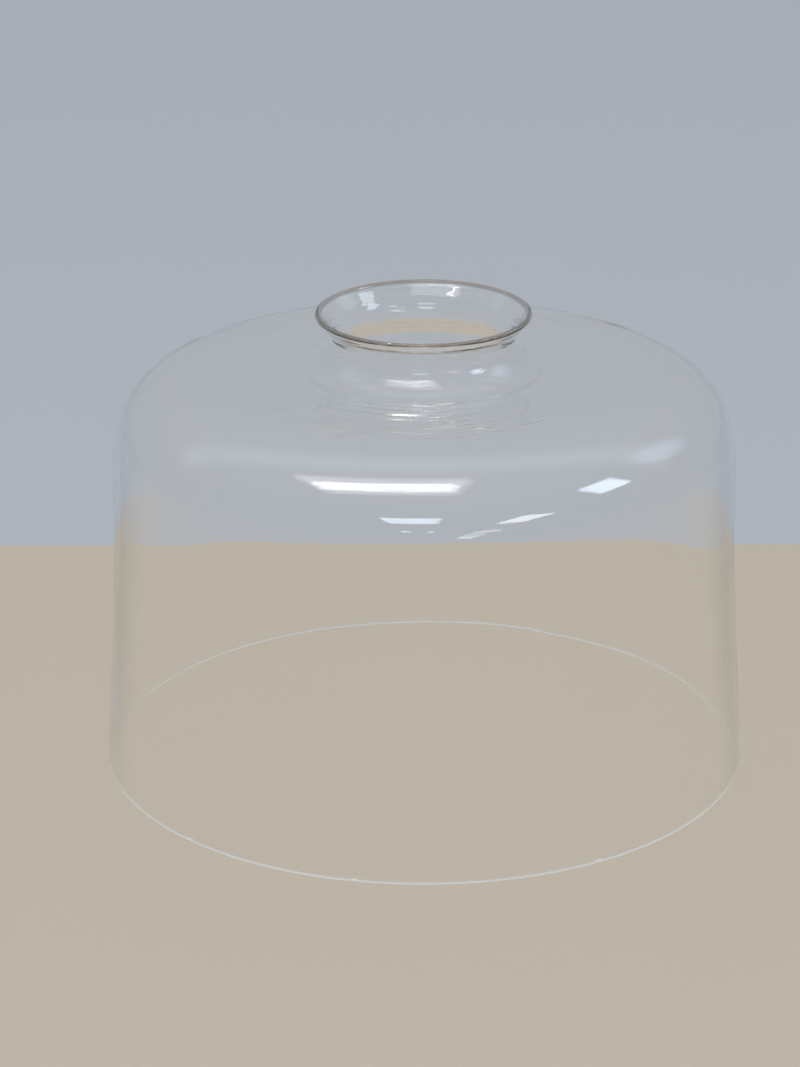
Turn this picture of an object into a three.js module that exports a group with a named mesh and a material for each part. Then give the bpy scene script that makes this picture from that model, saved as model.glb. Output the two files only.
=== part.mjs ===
// Open-necked bell of clear borosilicate glass: one blown wall that stands on its ground
// base edge, leans in a little, turns over a full shoulder to a nearly flat crown, and
// ends in a short waisted neck whose lip is flared and fire-polished to a bead.
// Millimetres, +Z up. The origin is the centre of the base edge's plane.
import * as THREE from 'three';

// Overall sizes, all measured over the outside of the glass
const baseDiameter = 300;
const shoulderDiameter = 287.6;
const waistDiameter = 83.2;
const lipDiameter = 98.7;
const overallHeight = 215;
const shoulderHeight = 114;
const neckHeight = 24.7;
const waistDepth = 15.5;

// Glass thickness and its worked edges
const wallThickness = 2.8;
const waistThickness = 4.1;
const lipThickness = 2.2;
const beadSwell = 0.3;
const baseArris = 0.4;

// How the outline bends
const wallEase = 1.25;
const shoulderFullness = 5.2;
const footReach = 14;
const footFullness = 1.55;
const flareBendRadius = 12.6;
const flareBendLimit = 0.95;
const bendThinning = 0.6;

// Facets of each stretch of the outline, and of the full turn
const turnSegments = 64;
const wallSteps = 5;
const crownSteps = 18;
const footSteps = 7;
const bendSteps = 5;
const beadSteps = 7;

// Places that follow from the sizes above
const baseRadius = baseDiameter / 2;
const shoulderRadius = shoulderDiameter / 2;
const waistRadius = waistDiameter / 2;
const beadRadius = (lipThickness + beadSwell) / 2;
const footOuterRadius = waistRadius + footReach;
const crownHeight = overallHeight - neckHeight;
const waistHeight = overallHeight - waistDepth;

const { lerp } = THREE.MathUtils;
const point = (radius, height) => new THREE.Vector2(radius, height);

// Each outline point carries the thickness of the glass behind it
const outline = [];
function add(at, thickness) {
  outline.push({ at, thickness });
}

// Wall: widest at the base, upright where it meets the shoulder
function addWall() {
  for (let step = 1; step <= wallSteps; step += 1) {
    const share = step / wallSteps;
    const lean = (baseRadius - shoulderRadius) * (1 - share) ** wallEase;
    add(point(shoulderRadius + lean, shoulderHeight * share), wallThickness);
  }
}

// Shoulder and crown: one superellipse, from the upright wall in to the neck's foot
const shoulderPower = 2 / shoulderFullness;
const crownTurn = Math.acos((footOuterRadius / shoulderRadius) ** (1 / shoulderPower));

function crownPoint(angle) {
  const radius = shoulderRadius * Math.cos(angle) ** shoulderPower;
  const rise = (crownHeight - shoulderHeight) * Math.sin(angle) ** shoulderPower;
  return point(radius, shoulderHeight + rise);
}

function addCrown() {
  for (let step = 1; step <= crownSteps; step += 1) {
    add(crownPoint((crownTurn * step) / crownSteps), wallThickness);
  }
}

// Neck foot: a sweep from the crown up to the waist, wider than it is high, over which
// the glass thickens as the neck was gathered
const footPower = 2 / footFullness;
const footBottom = crownPoint(crownTurn).y;

function addFoot() {
  for (let step = 1; step <= footSteps; step += 1) {
    const share = step / footSteps;
    const angle = (Math.PI / 2) * share;
    const radius = footOuterRadius - footReach * Math.sin(angle) ** footPower;
    const drop = (waistHeight - footBottom) * Math.max(Math.cos(angle), 0) ** footPower;
    add(point(radius, waistHeight - drop), lerp(wallThickness, waistThickness, share));
  }
}

// Flare: a bend out of the waist, then a straight cone tangent to it that runs to the bead.
// Where the neck is low or wide, the bend stays within the room that the bead leaves it.
const beadCentre = point(lipDiameter / 2 - beadRadius, overallHeight - beadRadius);
const halfWall = (waistThickness + lipThickness) / 4;
const fromWaist = beadCentre.clone().sub(point(waistRadius, waistHeight));
const bendRoom = (fromWaist.lengthSq() - halfWall ** 2) / (2 * (fromWaist.x + halfWall));
const bendRadius = Math.min(flareBendRadius, flareBendLimit * bendRoom);
const bendCentre = point(waistRadius + bendRadius, waistHeight);
const toBead = beadCentre.clone().sub(bendCentre);
const tangentTurn = Math.acos((bendRadius + halfWall) / toBead.length());
const bendEndAngle = Math.atan2(toBead.y, toBead.x) + tangentTurn;
const flareAlong = point(Math.sin(bendEndAngle), -Math.cos(bendEndAngle));
const flareOutwards = point(-Math.cos(bendEndAngle), -Math.sin(bendEndAngle));
const beadSetback = Math.sqrt(beadRadius ** 2 - (lipThickness / 2) ** 2);

const onCircle = (centre, radius, angle) =>
  point(centre.x + radius * Math.cos(angle), centre.y + radius * Math.sin(angle));

function addFlare() {
  for (let step = 1; step <= bendSteps; step += 1) {
    const share = step / bendSteps;
    const angle = lerp(Math.PI, bendEndAngle, share);
    const thickness = lerp(waistThickness, lipThickness, bendThinning * share);
    add(onCircle(bendCentre, bendRadius, angle), thickness);
  }
  const meetsBead = beadCentre.clone()
    .addScaledVector(flareAlong, -beadSetback)
    .addScaledVector(flareOutwards, lipThickness / 2);
  add(meetsBead, lipThickness);
}

// Bead: the fire-polished lip, from the outer face of the flare round to its inner face
function beadPoints() {
  const half = Math.PI - Math.asin(lipThickness / 2 / beadRadius);
  const middle = Math.atan2(flareAlong.y, flareAlong.x);
  const points = [];
  for (let step = 1; step < beadSteps; step += 1) {
    points.push(onCircle(beadCentre, beadRadius, lerp(middle - half, middle + half, step / beadSteps)));
  }
  return points;
}

// The inside of the wall: every outline point moved in, square to the outline
function insideOf(entries) {
  return entries.map(({ at, thickness }, index) => {
    const before = entries[Math.max(index - 1, 0)].at;
    const after = entries[Math.min(index + 1, entries.length - 1)].at;
    const along = after.clone().sub(before).normalize();
    return point(at.x - along.y * thickness, at.y + along.x * thickness);
  });
}

// Ground base edge: flat, with a small arris broken on both sides
function baseEdge() {
  const innerRadius = baseRadius - wallThickness;
  return {
    outer: [point(baseRadius - baseArris, 0), point(baseRadius, baseArris)],
    inner: [point(innerRadius, baseArris), point(innerRadius + baseArris, 0)],
  };
}

function bellGeometry() {
  addWall();
  addCrown();
  addFoot();
  addFlare();
  const edge = baseEdge();
  const section = [
    ...edge.outer,
    ...outline.map(({ at }) => at),
    ...beadPoints(),
    ...insideOf(outline).reverse(),
    ...edge.inner,
  ];
  const closed = [...section, section[0]];
  const geometry = new THREE.LatheGeometry(closed, turnSegments);
  geometry.rotateX(Math.PI / 2);
  return geometry;
}

const clearGlass = new THREE.MeshStandardMaterial({
  color: '#dfe6e8',
  roughness: 0.03,
  metalness: 0,
  transparent: true,
  opacity: 0.3,
});

const glassBell = new THREE.Mesh(bellGeometry(), clearGlass);
glassBell.name = 'glass_bell';

const openNeckBell = new THREE.Group();
openNeckBell.add(glassBell);

export default openNeckBell;
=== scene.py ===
import math

import bmesh
import bpy
from mathutils import Matrix, Vector, noise


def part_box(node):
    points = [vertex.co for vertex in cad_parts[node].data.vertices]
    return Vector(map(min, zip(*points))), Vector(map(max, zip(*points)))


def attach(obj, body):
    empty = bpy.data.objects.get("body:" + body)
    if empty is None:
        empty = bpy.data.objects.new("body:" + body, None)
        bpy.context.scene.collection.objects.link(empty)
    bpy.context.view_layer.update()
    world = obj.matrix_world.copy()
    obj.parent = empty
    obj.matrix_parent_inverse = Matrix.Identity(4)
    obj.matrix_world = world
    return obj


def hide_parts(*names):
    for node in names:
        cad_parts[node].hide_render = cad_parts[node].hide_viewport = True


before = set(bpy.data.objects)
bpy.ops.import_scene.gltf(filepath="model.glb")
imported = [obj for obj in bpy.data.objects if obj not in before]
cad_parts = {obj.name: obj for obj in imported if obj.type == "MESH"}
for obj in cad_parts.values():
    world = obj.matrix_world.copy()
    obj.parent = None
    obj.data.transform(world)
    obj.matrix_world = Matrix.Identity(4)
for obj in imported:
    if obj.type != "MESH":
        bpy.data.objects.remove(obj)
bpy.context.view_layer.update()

mm = 0.001
scene = bpy.context.scene
scene.view_settings.view_transform = "Standard"
print("Frame loaded:", sorted(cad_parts))

# Small helpers


def toLinear(hexColour):
    values = [int(hexColour[at:at + 2], 16) / 255 for at in (0, 2, 4)]
    return [v / 12.92 if v <= 0.04045 else ((v + 0.055) / 1.055) ** 2.4 for v in values] + [1]


def addNode(tree, kind, settings=None, inputs=None, links=None):
    node = tree.nodes.new(kind)
    for name, value in (settings or {}).items():
        setattr(node, name, value)
    for name, value in (inputs or {}).items():
        node.inputs[name].default_value = value
    for name, socket in (links or {}).items():
        tree.links.new(socket, node.inputs[name])
    return node


def newMaterial(name):
    material = bpy.data.materials.new(name)
    material.use_nodes = True
    material.node_tree.nodes.clear()
    return material, material.node_tree


def newPiece(name, bm, material, smooth=True):
    mesh = bpy.data.meshes.new(name)
    bm.to_mesh(mesh)
    bm.free()
    mesh.materials.append(material)
    mesh.polygons.foreach_set("use_smooth", [smooth] * len(mesh.polygons))
    piece = bpy.data.objects.new(name, mesh)
    scene.collection.objects.link(piece)
    return piece


def smoothStep(share):
    share = min(max(share, 0), 1)
    return share * share * (3 - 2 * share)


# Camera: the photograph's viewpoint. Pixels are in the photograph's frame, lengths in mm and
# angles in degrees.
camera = dict(
    frameHeight=1067,
    focalPixels=3500,
    sensorHeight=36,
    distance=1517,
    height=700,
    pitch=21.37,
    yaw=-0.42,
    roll=0.27,
    clipEnd=100,
)


def makeCamera(c):
    data = bpy.data.cameras.new("photoCamera")
    data.sensor_fit = "VERTICAL"
    data.sensor_height = c["sensorHeight"]
    data.lens = c["focalPixels"] * c["sensorHeight"] / c["frameHeight"]
    data.clip_end = c["clipEnd"]
    pitch, yaw, roll = (math.radians(c[name]) for name in ("pitch", "yaw", "roll"))
    turn = Matrix.Rotation(-yaw, 4, "Z") @ Matrix.Rotation(math.pi / 2 - pitch, 4, "X")
    turn = turn @ Matrix.Rotation(-roll, 4, "Z")
    holder = bpy.data.objects.new("photoCamera", data)
    holder.matrix_world = Matrix.Translation((0, -c["distance"] * mm, c["height"] * mm)) @ turn
    scene.collection.objects.link(holder)
    scene.camera = holder


makeCamera(camera)
print("Camera placed")

# Floor: a plain warm board whose far edge shows behind the bell, on a plain cool floor
ground = dict(
    boardWidth=3200,
    boardFront=-1900,
    boardBack=255,
    boardThickness=18,
    boardDrop=0.05,
    boardColour="d6c8b6",
    floorSize=16000,
    floorColour="c9ccd3",
    sheen=0.2,
    roughness=0.6,
)


def plainPaint(name, colour, g):
    material, tree = newMaterial(name)
    paint = addNode(tree, "ShaderNodeBsdfPrincipled", inputs={
        "Base Color": toLinear(colour),
        "Roughness": g["roughness"],
        "Specular IOR Level": g["sheen"],
    })
    addNode(tree, "ShaderNodeOutputMaterial", links={"Surface": paint.outputs["BSDF"]})
    return material


def makeGround(g):
    bm = bmesh.new()
    bmesh.ops.create_grid(bm, x_segments=1, y_segments=1, size=g["floorSize"] * mm / 2)
    bmesh.ops.translate(bm, verts=bm.verts, vec=(0, 0, -g["boardThickness"] * mm))
    newPiece("plainFloor", bm, plainPaint("coolFloorPaint", g["floorColour"], g))

    bm = bmesh.new()
    bmesh.ops.create_cube(bm, size=1)
    depth = g["boardBack"] - g["boardFront"]
    bmesh.ops.scale(bm, verts=bm.verts, vec=Vector((g["boardWidth"], depth, g["boardThickness"])) * mm)
    middle = Vector((0, (g["boardBack"] + g["boardFront"]) / 2, -g["boardThickness"] / 2 - g["boardDrop"]))
    bmesh.ops.translate(bm, verts=bm.verts, vec=middle * mm)
    newPiece("plainBoard", bm, plainPaint("warmBoardPaint", g["boardColour"], g), False)


makeGround(ground)
print("Floor and board laid")

# Light: pale surroundings and a soft panel light the ground. The tubes, the other panels and the
# window only make highlights on the glass, so that they leave the ground as even as in the
# photograph. Places and sizes are in mm, power is in watts.
lights = dict(
    horizonColour="acb3b8",
    zenithColour="d6dadd",
    gradientStart=0.4,
    bandFrom=0.25,
    bandTo=1.05,
    bandLow=0.3,
    bandHigh=0.6,
    bandColour="e8eef6",
    bandStrength=0.5,
    glowTo=(0.674, 0.455, 0.582),
    glowEdge=0.973,
    glowCentre=0.998,
    glowColour="cfe6ff",
    glowStrength=0.9,
    tubes=dict(place=(-332, -305, 2200), count=2, spacing=270, size=(1145, 24), power=4.6, colour="f8fbff"),
    ceilingPanels=dict(
        overheadGlow=dict(place=(-325, -150, 2230), size=(1280, 1040), power=9, colour="ffffff"),
        tubeDiffuser=dict(place=(-332, -165, 2215), size=(1145, 350), power=2.2, colour="f8fbff"),
        frontPanel=dict(place=(-310, -4150, 2200), size=(1500, 1500), power=42, colour="dfeefc"),
        rightPanel=dict(place=(3560, -4783, 2200), size=(1500, 2300), power=66, colour="f2f6fa"),
    ),
    facingPanels=dict(
        sideWindow=dict(place=(2100, -400, 1730), size=(660, 700), power=10, colour="dfefff"),
        farTopStrip=dict(place=(3087, -7380, 1423), size=(1340, 130), power=4, colour="f4f7fa"),
        farMiddleStrip=dict(place=(2459, -7613, 1011), size=(1117, 100), power=2, colour="f4f7fa"),
        farLowStrip=dict(place=(2084, -7724, 705), size=(920, 110), power=3, colour="f4f7fa"),
        farLeftSpot=dict(place=(-822, -7900, 1827), size=(500, 110), power=1.6, colour="f4f7fa"),
        farRightSpot=dict(place=(349, -7900, 1783), size=(250, 110), power=0.8, colour="f4f7fa"),
    ),
    faceTo=(0, 0, 170),
    softPanel=dict(place=(-300, -2600, 2600), size=(2400, 1600), power=30, colour="fff8ee"),
)


def addLamp(name, place, target, size, power, colour):
    data = bpy.data.lights.new(name, "AREA")
    data.shape = "RECTANGLE"
    data.size, data.size_y = size[0] * mm, size[1] * mm
    data.energy = power
    data.color = toLinear(colour)[:3]
    lamp = bpy.data.objects.new(name, data)
    lamp.location = Vector(place) * mm
    lamp.rotation_euler = ((Vector(target) - Vector(place)) * mm).to_track_quat("-Z", "Y").to_euler()
    scene.collection.objects.link(lamp)
    return lamp


def makeSky(s):
    world = bpy.data.worlds.new("paleSurroundings")
    world.use_nodes = True
    tree = world.node_tree
    direction = addNode(tree, "ShaderNodeTexCoord")
    split = addNode(tree, "ShaderNodeSeparateXYZ", links={"Vector": direction.outputs["Generated"]})
    rise = addNode(tree, "ShaderNodeValToRGB", links={"Fac": split.outputs["Z"]})
    rise.color_ramp.elements[0].position = s["gradientStart"]
    rise.color_ramp.elements[0].color = toLinear(s["horizonColour"])
    rise.color_ramp.elements[1].color = toLinear(s["zenithColour"])
    # A soft band of light across the ceiling behind the bell, and one soft patch on the right
    depth = addNode(tree, "ShaderNodeMath", {"operation": "DIVIDE"},
                    links={0: split.outputs["Y"], 1: split.outputs["Z"]})
    across = addNode(tree, "ShaderNodeMapRange",
                     inputs={"From Min": s["bandFrom"], "From Max": s["bandTo"]},
                     links={"Value": depth.outputs["Value"]})
    band = addNode(tree, "ShaderNodeValToRGB", links={"Fac": across.outputs["Result"]})
    band.color_ramp.interpolation = "EASE"
    band.color_ramp.elements[1].color = (0, 0, 0, 1)
    band.color_ramp.elements.new(0.5).color = (1, 1, 1, 1)
    upward = addNode(tree, "ShaderNodeMapRange", links={"Value": split.outputs["Z"]}, inputs={
        "From Min": s["bandLow"], "From Max": s["bandHigh"], "To Max": s["bandStrength"],
    })
    bandShare = addNode(tree, "ShaderNodeMath", {"operation": "MULTIPLY"},
                        links={0: band.outputs["Color"], 1: upward.outputs["Result"]})
    withBand = addNode(tree, "ShaderNodeMixRGB", {"blend_type": "ADD"},
                       {"Color2": toLinear(s["bandColour"])},
                       {"Fac": bandShare.outputs["Value"], "Color1": rise.outputs["Color"]})
    toGlow = addNode(tree, "ShaderNodeVectorMath", {"operation": "DOT_PRODUCT"}, {1: s["glowTo"]},
                     {0: direction.outputs["Generated"]})
    glow = addNode(tree, "ShaderNodeMapRange", {"interpolation_type": "SMOOTHSTEP"},
                   {"From Min": s["glowEdge"], "From Max": s["glowCentre"], "To Max": s["glowStrength"]},
                   {"Value": toGlow.outputs["Value"]})
    glowLight = addNode(tree, "ShaderNodeVectorMath", {"operation": "SCALE"},
                        {0: toLinear(s["glowColour"])[:3]}, {"Scale": glow.outputs["Result"]})
    withGlow = addNode(tree, "ShaderNodeVectorMath", {"operation": "ADD"}, None,
                       {0: withBand.outputs["Color"], 1: glowLight.outputs["Vector"]})
    tree.links.new(withGlow.outputs["Vector"], tree.nodes["Background"].inputs["Color"])
    scene.world = world


def makeLights(s):
    makeSky(s)
    highlights = []
    tubes = s["tubes"]
    for step in range(tubes["count"]):
        x, y, z = tubes["place"]
        y += tubes["spacing"] * step
        highlights.append(addLamp("tube" + str(step), (x, y, z), (x, y, 0),
                                  tubes["size"], tubes["power"], tubes["colour"]))
    for name, panel in s["ceilingPanels"].items():
        x, y, z = panel["place"]
        highlights.append(addLamp(name, (x, y, z), (x, y, 0),
                                  panel["size"], panel["power"], panel["colour"]))
    for name, panel in s["facingPanels"].items():
        highlights.append(addLamp(name, panel["place"], s["faceTo"],
                                  panel["size"], panel["power"], panel["colour"]))
    for lamp in highlights:
        lamp.visible_diffuse = False
    soft = s["softPanel"]
    panel = addLamp("softPanel", soft["place"], (0, 0, 0), soft["size"], soft["power"], soft["colour"])
    panel.visible_glossy = False
    panel.visible_transmission = False


makeLights(lights)
print("Lights set")

# Glass bell: one blown wall, from its ground base edge to its fire-polished lip.
# Its base and height come from the frame. The rest are real lengths in mm, the powers of its
# curves (fullness and ease) and the counts of its segments and steps.
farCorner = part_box("glass_bell")[1]
bell = dict(
    baseRadius=farCorner.x / mm,
    height=farCorner.z / mm,
    shoulderRadius=143.8,
    shoulderHeight=114,
    shoulderFullness=5.2,
    wallEase=1.25,
    crownHeight=190.3,
    wall=2.8,
    waistRadius=41.6,
    waistHeight=199.5,
    waistThickness=4.1,
    footReach=14,
    footFullness=1.55,
    bendRadius=12.6,
    lipRadius=49.35,
    lipThickness=2.2,
    beadRadius=1.25,
    arris=0.4,
    frostTop=0.7,
    chipTop=2.3,
    segments=320,
    wallSteps=22,
    shoulderSteps=38,
    crownFrom=92,
    crownSteps=44,
    footSteps=20,
    bendSteps=11,
    flareSteps=3,
    beadSteps=16,
)
# Marks of the making: the wall waves a little, its thickness swells and runs in upright streaks,
# shallow rings are left in the crown where the neck was worked, and the ground edge has tiny chips.
marks = dict(
    fadeAtEnds=14,
    outwardRise=0.6,  # outwards rises by this share of the radius, to tell the outer skin from the inner
    wave=0.07,
    waveLength=85,
    wavePlace=(3.1, 7.7, 1.9),
    swell=0.22,
    swellLength=55,
    swellPlace=(9.4, 2.2, 5.5),
    streak=0.02,
    streakLength=30,
    streakRun=4,
    ring=0.11,
    ringGrowth=1.9,
    ringGrowthFrom=78,
    ringGrowthOver=20,
    ringPitch=7,
    ringFrom=52,
    ringTo=112,
    ringFadeIn=6,
    ringFadeOut=12,
    ringShift=35,
    ringShiftFrom=76,
    ringShiftOver=22,
    ringSlowness=26,
    ringDrift=0.7,
    ringSide=-97,
    ringSideFrom=0.6,
    ringSideOver=0.37,
    ringElsewhere=0.06,
    ringPatchLength=16,
    ringPatchMiddle=0.85,
    chipAngles=(-134.4, -101.3, -58.9),
    chipReach=1.5,
    chipDepth=0.5,
    chipEvenness=0.6,
    chipDrop=0.5,
    chipDropPlace=(5.3, 0, 0),
)
# Look of the glass: the rim's grey, and the lip's brownish painted shade for the room's dark in its bead,
# fade in between these heights in mm
glassLook = dict(
    refraction=1.473,
    density=1.6,
    rimFrom=0.6,
    rimTo=0.95,
    rimTop=170,
    rimFade=60,
    rimColour="d4d7dc",
    lipFrom=213.2,
    lipTo=214,
    lipShadeColour="b4a8a0",
    frostColour="f6f7f6",
    frostRoughness=0.55,
    # Painted glint: the chips' near-white paint stands in for the light their facets throw back
    chipGlintColour="fcfdff",
    chipRoughness=0.25,
)


def wallAndCrown(b):
    path = []
    wallHeight = b["shoulderHeight"] - b["arris"]
    lean = b["baseRadius"] - b["shoulderRadius"]
    heights = [b["arris"], b["frostTop"], b["chipTop"]]
    heights += [b["arris"] + wallHeight * step / b["wallSteps"] for step in range(1, b["wallSteps"])]
    for height in heights:
        share = (height - b["arris"]) / wallHeight
        radius = b["shoulderRadius"] + lean * (1 - share) ** b["wallEase"]
        path.append((Vector((radius, height)), b["wall"]))
    for step in range(b["shoulderSteps"]):
        share = (step / b["shoulderSteps"]) ** 2
        radius = b["shoulderRadius"] + (b["crownFrom"] - b["shoulderRadius"]) * share
        path.append((Vector((radius, crownAt(b, radius))), b["wall"]))
    footStart = b["waistRadius"] + b["footReach"]
    for step in range(b["crownSteps"] + 1):
        radius = b["crownFrom"] + (footStart - b["crownFrom"]) * step / b["crownSteps"]
        path.append((Vector((radius, crownAt(b, radius))), b["wall"]))
    return path


def crownAt(b, radius):
    power = b["shoulderFullness"]
    reach = min(radius / b["shoulderRadius"], 1)
    rise = b["crownHeight"] - b["shoulderHeight"]
    return b["shoulderHeight"] + rise * (1 - reach ** power) ** (1 / power)


def neckFoot(b):
    path = []
    footStart = b["waistRadius"] + b["footReach"]
    bottom = crownAt(b, footStart)
    power = 2 / b["footFullness"]
    for step in range(1, b["footSteps"] + 1):
        share = step / b["footSteps"]
        angle = math.pi / 2 * share
        radius = footStart - b["footReach"] * math.sin(angle) ** power
        height = b["waistHeight"] - (b["waistHeight"] - bottom) * max(math.cos(angle), 0) ** power
        path.append((Vector((radius, height)), b["wall"] + (b["waistThickness"] - b["wall"]) * share))
    return path


def flareAndBead(b):
    bead = Vector((b["lipRadius"] - b["beadRadius"], b["height"] - b["beadRadius"]))
    centre = Vector((b["waistRadius"] + b["bendRadius"], b["waistHeight"]))
    toBead = bead - centre
    middle = b["bendRadius"] + (b["waistThickness"] + b["lipThickness"]) / 4
    end = math.atan2(toBead.y, toBead.x) + math.acos(min(middle / toBead.length, 1))
    along = Vector((math.sin(end), -math.cos(end)))
    outwards = Vector((-math.cos(end), -math.sin(end)))
    thinning = b["waistThickness"] - b["lipThickness"]
    bendShare = 0.6
    path = []
    for step in range(1, b["bendSteps"] + 1):
        share = step / b["bendSteps"]
        angle = math.pi + (end - math.pi) * share
        place = centre + Vector((math.cos(angle), math.sin(angle))) * b["bendRadius"]
        path.append((place, b["waistThickness"] - thinning * bendShare * share))
    setback = math.sqrt(b["beadRadius"] ** 2 - (b["lipThickness"] / 2) ** 2)
    bendEnd = path[-1][0]
    meetsBead = bead - along * setback + outwards * b["lipThickness"] / 2
    for step in range(1, b["flareSteps"] + 1):
        share = step / b["flareSteps"]
        thickness = b["lipThickness"] + thinning * (1 - bendShare) * (1 - share)
        path.append((bendEnd.lerp(meetsBead, share), thickness))
    half = math.pi - math.asin(b["lipThickness"] / 2 / b["beadRadius"])
    facing = math.atan2(along.y, along.x)
    rounded = []
    for step in range(1, b["beadSteps"]):
        angle = facing - half + 2 * half * step / b["beadSteps"]
        rounded.append(bead + Vector((math.cos(angle), math.sin(angle))) * b["beadRadius"])
    return path, rounded


def insideOf(path):
    inside = []
    for at, (place, thickness) in enumerate(path):
        along = (path[min(at + 1, len(path) - 1)][0] - path[max(at - 1, 0)][0]).normalized()
        inside.append(place + Vector((-along.y, along.x)) * thickness)
    return inside


def ringAt(place, radius, m):
    onCrown = smoothStep((radius - m["ringFrom"]) / m["ringFadeIn"])
    onCrown *= smoothStep((m["ringTo"] - radius) / m["ringFadeOut"])
    if onCrown == 0:
        return 0
    shift = m["ringShift"] * smoothStep((radius - m["ringShiftFrom"]) / m["ringShiftOver"])
    fromCentre = math.hypot(place.x + shift, place.y)
    facing = math.cos(math.atan2(place.y, place.x) - math.radians(m["ringSide"]))
    onSide = smoothStep((facing - m["ringSideFrom"]) / m["ringSideOver"])
    patches = m["ringPatchMiddle"] + noise.noise(place / m["ringPatchLength"])
    strength = m["ringElsewhere"] + (1 - m["ringElsewhere"]) * onSide * patches
    strength *= 1 + m["ringGrowth"] * smoothStep((radius - m["ringGrowthFrom"]) / m["ringGrowthOver"])
    phase = fromCentre / m["ringPitch"] + m["ringDrift"] * noise.noise(place / m["ringSlowness"])
    return m["ring"] * onCrown * strength * math.sin(2 * math.pi * phase)


def addMarks(bm, b, m):
    bm.normal_update()
    moves = []
    for vert in bm.verts:
        place = vert.co / mm
        radius = Vector((place.x, place.y)).length
        ends = smoothStep(place.z / m["fadeAtEnds"]) * smoothStep((b["height"] - place.z) / m["fadeAtEnds"])
        wave = m["wave"] * noise.noise(place / m["waveLength"] + Vector(m["wavePlace"]))
        outwards = Vector((place.x, place.y, radius * m["outwardRise"]))
        out = 1 if vert.normal.dot(outwards) > 0 else -1
        move = out * wave
        if out > 0:
            move += m["swell"] * noise.noise(place / m["swellLength"] + Vector(m["swellPlace"]))
            along = Vector((place.x, place.y, place.z / m["streakRun"])) / m["streakLength"]
            move += m["streak"] * noise.noise(along)
            move += ringAt(place, radius, m) * (place.z > b["shoulderHeight"])
        moves.append(vert.normal * move * ends * mm)
    for vert, move in zip(bm.verts, moves):
        vert.co += move


def addChips(bm, b, m):
    chipped = []
    facesOut = 0.5
    for angle in m["chipAngles"]:
        turn = math.radians(angle)
        outwards = Vector((math.cos(turn), math.sin(turn), 0))
        edge = outwards * b["baseRadius"] * mm
        for face in bm.faces:
            middle = face.calc_center_median()
            away = middle - edge
            away.z = 0
            inReach = middle.z < b["chipTop"] * mm and away.length < m["chipReach"] * mm
            if inReach and face.normal.dot(outwards) > facesOut:
                chipped.append(face)
    for vert in {vert: True for face in chipped for vert in face.verts}:
        share = m["chipEvenness"] + (1 - m["chipEvenness"]) * noise.noise(vert.co / mm)
        vert.co -= Vector((vert.co.x, vert.co.y, 0)).normalized() * m["chipDepth"] * share * mm
        if vert.co.z > (b["frostTop"] + b["chipTop"]) / 2 * mm:
            vert.co.z -= m["chipDrop"] * (1 + noise.noise(vert.co / mm + Vector(m["chipDropPlace"]))) * mm
    return [face.index for face in chipped]


def borosilicateGlass(g):
    # Flame-worked borosilicate: colourless, with a faint grey that shows down long paths in the glass,
    # and greyer where the eye meets the upright wall at a glancing angle. The fire-polished lip is a
    # thick round bead that gathers the dark of the room. That dark is painted shade here: the bead's
    # colour is a brownish grey, which outlines the lip.
    material, tree = newMaterial("blownBorosilicate")
    facing = addNode(tree, "ShaderNodeLayerWeight", inputs={"Blend": 0.5})
    glancing = addNode(tree, "ShaderNodeMapRange", {"interpolation_type": "SMOOTHSTEP"},
                       {"From Min": g["rimFrom"], "From Max": g["rimTo"]},
                       {"Value": facing.outputs["Facing"]})
    place = addNode(tree, "ShaderNodeTexCoord")
    split = addNode(tree, "ShaderNodeSeparateXYZ", links={"Vector": place.outputs["Object"]})
    onWall = addNode(tree, "ShaderNodeMapRange", {"interpolation_type": "SMOOTHSTEP"},
                     {"From Min": g["rimTop"] * mm, "From Max": (g["rimTop"] - g["rimFade"]) * mm},
                     {"Value": split.outputs["Z"]})
    grey = addNode(tree, "ShaderNodeMath", {"operation": "MULTIPLY"},
                   links={0: glancing.outputs["Result"], 1: onWall.outputs["Result"]})
    tint = addNode(tree, "ShaderNodeMixRGB", None,
                   {"Color1": (1, 1, 1, 1), "Color2": toLinear(g["rimColour"])},
                   {"Fac": grey.outputs["Value"]})
    # Painted shade: the lip bead gets a brownish grey for the dark of the room that it gathers
    onLipShade = addNode(tree, "ShaderNodeMapRange", {"interpolation_type": "SMOOTHSTEP"},
                    {"From Min": g["lipFrom"] * mm, "From Max": g["lipTo"] * mm},
                    {"Value": split.outputs["Z"]})
    withLipShade = addNode(tree, "ShaderNodeMixRGB", None, {"Color2": toLinear(g["lipShadeColour"])},
                      {"Fac": onLipShade.outputs["Result"], "Color1": tint.outputs["Color"]})
    glass = addNode(tree, "ShaderNodeBsdfPrincipled", inputs={
        "Roughness": 0,
        "IOR": g["refraction"],
        "Transmission Weight": 1,
    }, links={"Base Color": withLipShade.outputs["Color"]})
    absorb = addNode(tree, "ShaderNodeVolumeAbsorption",
                     inputs={"Color": (0, 0, 0, 1), "Density": g["density"]})
    addNode(tree, "ShaderNodeOutputMaterial", links={
        "Surface": glass.outputs["BSDF"],
        "Volume": absorb.outputs["Volume"],
    })
    return material


def whiteGlass(name, colour, roughness, g):
    material, tree = newMaterial(name)
    rough = addNode(tree, "ShaderNodeBsdfPrincipled", inputs={
        "Base Color": toLinear(colour),
        "Roughness": roughness,
        "IOR": g["refraction"],
    })
    addNode(tree, "ShaderNodeOutputMaterial", links={"Surface": rough.outputs["BSDF"]})
    return material


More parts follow.
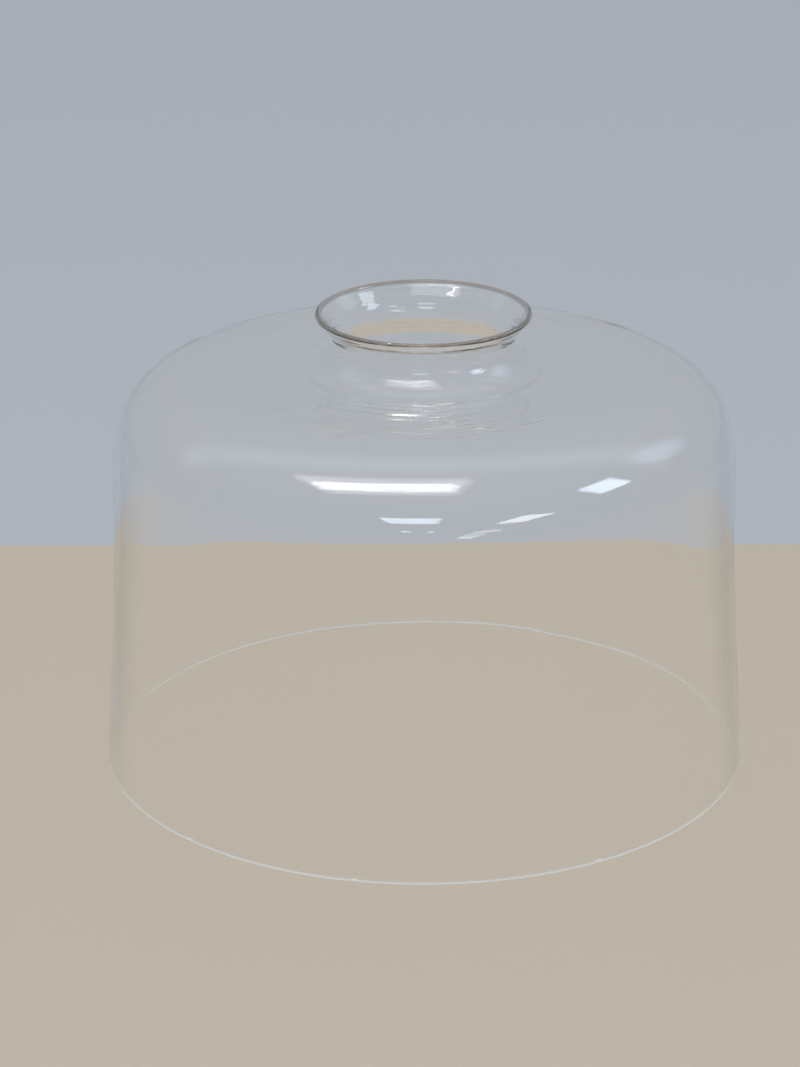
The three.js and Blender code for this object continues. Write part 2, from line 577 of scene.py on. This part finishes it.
def groundGlass(g):
    # The ground base edge scatters light, so it shows as a pale line through the wall
    return whiteGlass("groundGlassEdge", g["frostColour"], g["frostRoughness"], g)


def paintedChipGlint(g):
    # A fresh chip's shell-shaped facets throw the light back. That glint is painted here: the chip faces
    # get a near-white, slightly glossy opaque paint, so each chip shows as a white speck
    return whiteGlass("paintedChipGlint", g["chipGlintColour"], g["chipRoughness"], g)


def makeBell(b, m):
    path = wallAndCrown(b) + neckFoot(b)
    flare, bead = flareAndBead(b)
    path += flare
    inside = insideOf(path)
    inside[0].y = b["arris"]
    edge = [Vector((inside[0].x + b["arris"], 0)), Vector((b["baseRadius"] - b["arris"], 0))]
    section = [place for place, thickness in path] + bead + inside[::-1] + edge

    bm = bmesh.new()
    corners = [bm.verts.new((place.x * mm, 0, place.y * mm)) for place in section]
    sides = [bm.edges.new((corners[at - 1], corners[at])) for at in range(len(corners))]
    bmesh.ops.spin(bm, geom=corners + sides, cent=(0, 0, 0), axis=(0, 0, 1), dvec=(0, 0, 0),
                   angle=2 * math.pi, steps=b["segments"], use_merge=True)
    bmesh.ops.remove_doubles(bm, verts=bm.verts, dist=1e-6)
    bmesh.ops.recalc_face_normals(bm, faces=bm.faces)
    addMarks(bm, b, m)
    groundFaces = [face.index for face in bm.faces if face.calc_center_median().z < b["frostTop"] * mm]
    chipFaces = addChips(bm, b, m)
    print("Bell section has", len(section), "points; triangles:", 2 * len(bm.faces))
    piece = newPiece("glassBell", bm, borosilicateGlass(glassLook))
    piece.data.materials.append(groundGlass(glassLook))
    piece.data.materials.append(paintedChipGlint(glassLook))
    for slot, faces in ((1, groundFaces), (2, chipFaces)):
        for index in faces:
            piece.data.polygons[index].material_index = slot
            piece.data.polygons[index].use_smooth = False
    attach(piece, "root")
    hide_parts("glass_bell")
    # Thin clear glass leaves no shadow and no caustics on the board in the photograph
    piece.visible_shadow = False
    piece.visible_diffuse = False


makeBell(bell, marks)
print("Glass bell blown")

# Light has to pass the wall's many inner reflections, or the lip and base edge turn black
scene.cycles.sample_clamp_indirect = 0
innerReflections = 48
scene.cycles.max_bounces = innerReflections
scene.cycles.transmission_bounces = innerReflections
scene.cycles.glossy_bounces = innerReflections
